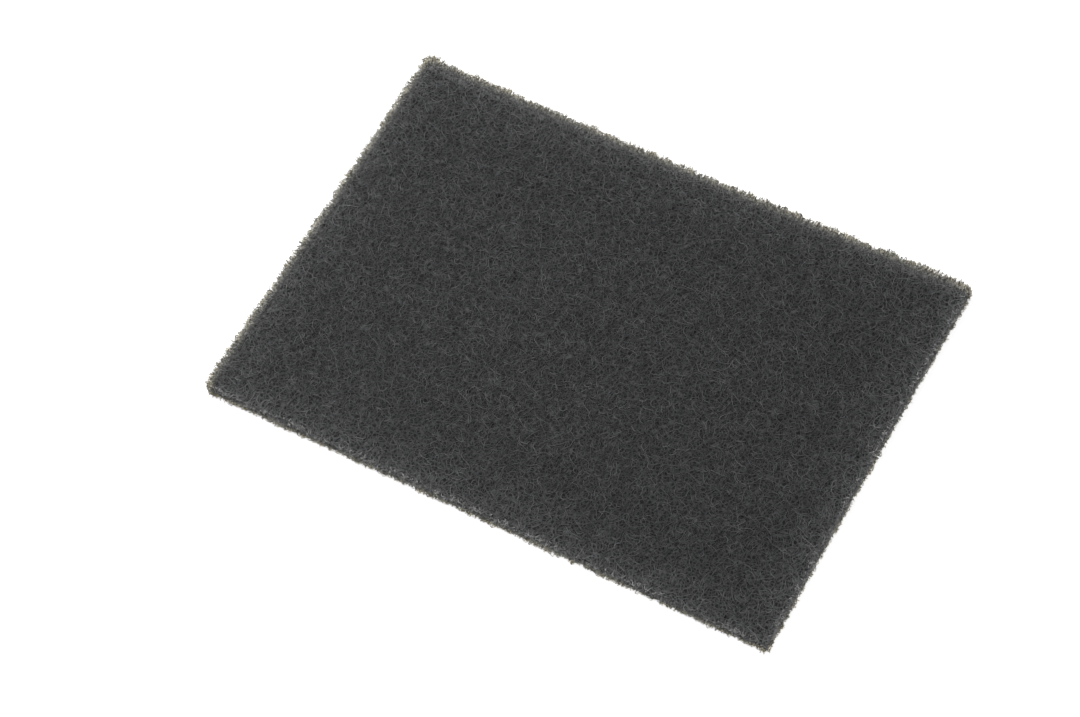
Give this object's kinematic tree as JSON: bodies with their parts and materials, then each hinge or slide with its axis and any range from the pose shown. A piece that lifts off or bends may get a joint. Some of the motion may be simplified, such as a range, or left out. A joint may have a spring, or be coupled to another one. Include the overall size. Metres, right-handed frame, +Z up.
{
  "type": "abrasive hand pad",
  "caption": "Rectangular pad of dark grey open non-woven web, used by hand to scour and dull a surface.",
  "frame": {"origin": "middle of the pad on the surface that its underside lies on", "axes": "+X along the long side, +Y along the short side to the far edge in the picture, +Z up through the thickness"},
  "size_m": [0.224, 0.158, 0.006],
  "materials": {
    "web": "open web of crimped strands bonded with a dull mineral-filled resin"
  },
  "bodies": {
    "root": {"pad": "web"}
  },
  "joints": []
}
